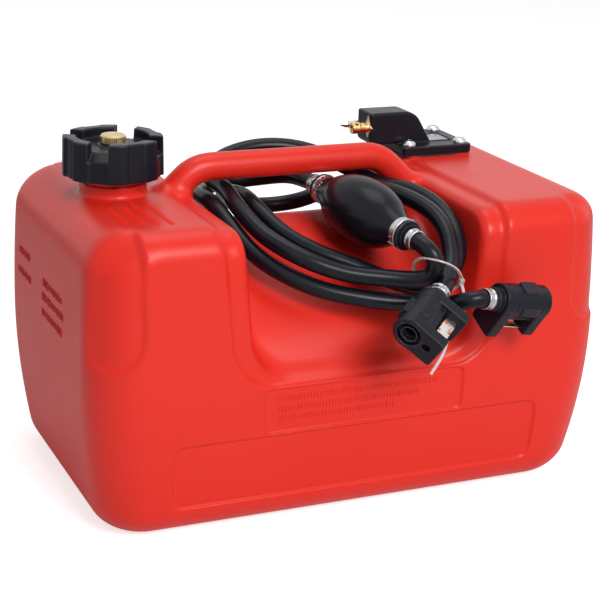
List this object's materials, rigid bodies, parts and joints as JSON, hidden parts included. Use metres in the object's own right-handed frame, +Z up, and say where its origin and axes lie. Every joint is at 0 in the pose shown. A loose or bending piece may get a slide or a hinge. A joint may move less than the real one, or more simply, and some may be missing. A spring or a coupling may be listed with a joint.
{
  "type": "outboard fuel tank",
  "caption": "Portable fuel tank for an outboard motor, with filler cap and vent, level gauge, outlet, and a coiled fuel hose with primer bulb and quick connectors.",
  "frame": {"origin": "middle of the base that the tank stands on", "axes": "+X along the tank from the filler cap to the level gauge, -Y towards the side where the hose lies in the recess, +Z up"},
  "size_m": [0.4, 0.3194, 0.2665],
  "materials": {
    "red_shell": "semi-gloss blow-moulded polyethylene with a fine grain",
    "black_moulding": "moulded nylon, slightly glossy edges",
    "nitrile": "smooth moulded seal",
    "brass": "turned, lightly polished",
    "stainless": "bright stainless",
    "clamp_steel": "rolled band with a dull shine",
    "clear_window": "clear moulded window",
    "dial_card": "printed card",
    "pointer_red": "moulded pointer",
    "float_foam": "closed-cell foam",
    "white_plastic": "acetal",
    "black_rubber": "smooth fuel hose rubber with a soft sheen",
    "tie_plastic": "thin tie, pale pinkish grey"
  },
  "bodies": {
    "tank": {"tank_body": "red_shell", "tank_handle": "red_shell", "filler_neck": "red_shell", "gauge_housing": "black_moulding", "outlet_nozzle": "brass", "nozzle_guide_pin": "stainless", "gauge_gasket": "nitrile", "gauge_lens": "clear_window", "gauge_dial": "dial_card", "float_guide": "white_plastic", "pickup_tube": "brass", "pickup_strainer": "white_plastic", "flange_screws": "stainless", "threaded_inserts": "brass", "bulb": "black_rubber", "inlet_collar": "black_moulding", "outlet_collar": "black_moulding", "bulb_clamps": "clamp_steel", "hose_engine_side": "black_rubber", "hose_tank_side": "black_rubber", "ferrules": "clamp_steel", "cable_tie": "tie_plastic", "connector_a_body": "black_moulding", "connector_a_o_ring": "nitrile", "connector_a_tail": "black_moulding", "connector_a_valve_spring": "stainless", "connector_a_latch_spring": "stainless", "connector_b_body": "black_moulding", "connector_b_o_ring": "nitrile", "connector_b_tail": "black_moulding", "connector_b_valve_spring": "stainless", "connector_b_latch_spring": "stainless"},
    "cap_thread": {"cap_gasket": "nitrile"},
    "cap": {"filler_cap": "black_moulding", "vent_bush": "brass"},
    "vent_thread": {"vent_o_ring": "nitrile"},
    "vent": {"vent_screw": "brass"},
    "float": {"gauge_float": "float_foam"},
    "strip": {"gauge_strip": "brass", "gauge_pointer": "pointer_red"},
    "inlet_valve_disc": {"inlet_disc": "nitrile"},
    "outlet_valve_disc": {"outlet_disc": "nitrile"},
    "latch_a": {"connector_a_latch": "clamp_steel"},
    "poppet_a": {"connector_a_poppet": "white_plastic"},
    "latch_b": {"connector_b_latch": "clamp_steel"},
    "poppet_b": {"connector_b_poppet": "white_plastic"}
  },
  "joints": [
    {"name": "cap_rise", "type": "slide", "parent": "tank", "child": "cap_thread", "axis": [0, 0, 1], "range_m": [0, 0.012]},
    {"name": "cap_turn", "type": "hinge", "parent": "cap_thread", "child": "cap", "pos_m": [-0.149, 0, 0.25], "axis": [0, 0, 1], "range_deg": [0, 720]},
    {"name": "vent_rise", "type": "slide", "parent": "cap", "child": "vent_thread", "axis": [0, 0, 1], "range_m": [0, 0.002]},
    {"name": "vent_turn", "type": "hinge", "parent": "vent_thread", "child": "vent", "pos_m": [-0.149, 0, 0.26], "axis": [0, 0, 1], "range_deg": [0, 720]},
    {"name": "float_rise", "type": "slide", "parent": "tank", "child": "float", "axis": [0, 0, 1], "range_m": [0, 0.15]},
    {"name": "strip_turn", "type": "hinge", "parent": "tank", "child": "strip", "pos_m": [0.145, 0.068, 0.2], "axis": [0, 0, 1], "range_deg": [-193, 0]},
    {"name": "inlet_valve", "type": "slide", "parent": "tank", "child": "inlet_valve_disc", "axis": [0.1951, -0.9754, -0.103], "range_m": [0, 0.002], "stiffness_N_per_m": 20, "springref_m": -0.001},
    {"name": "outlet_valve", "type": "slide", "parent": "tank", "child": "outlet_valve_disc", "axis": [0.1951, -0.9754, -0.103], "range_m": [0, 0.002], "stiffness_N_per_m": 20, "springref_m": -0.001},
    {"name": "latch_a", "type": "slide", "parent": "tank", "child": "latch_a", "axis": [-0.636, 0.513, 0.5765], "range_m": [0, 0.002], "stiffness_N_per_m": 500, "springref_m": -0.002, "deforming": ["connector_a_latch_spring"]},
    {"name": "poppet_a", "type": "slide", "parent": "tank", "child": "poppet_a", "axis": [0.744, 0.6059, 0.2817], "range_m": [0, 0.004], "stiffness_N_per_m": 300, "springref_m": -0.003, "deforming": ["connector_a_valve_spring"]},
    {"name": "latch_b", "type": "slide", "parent": "tank", "child": "latch_b", "axis": [0.2538, -0.4595, 0.8512], "range_m": [0, 0.002], "stiffness_N_per_m": 500, "springref_m": -0.002, "deforming": ["connector_b_latch_spring"]},
    {"name": "poppet_b", "type": "slide", "parent": "tank", "child": "poppet_b", "axis": [-0.9654, -0.1755, 0.1931], "range_m": [0, 0.004], "stiffness_N_per_m": 300, "springref_m": -0.003, "deforming": ["connector_b_valve_spring"]}
  ],
  "couplings": [
    {"joint": "cap_turn", "follows": "cap_rise", "rad_per_m": 1047.2},
    {"joint": "vent_turn", "follows": "vent_rise", "rad_per_m": 6283.2},
    {"joint": "strip_turn", "follows": "float_rise", "rad_per_m": -22.387}
  ]
}
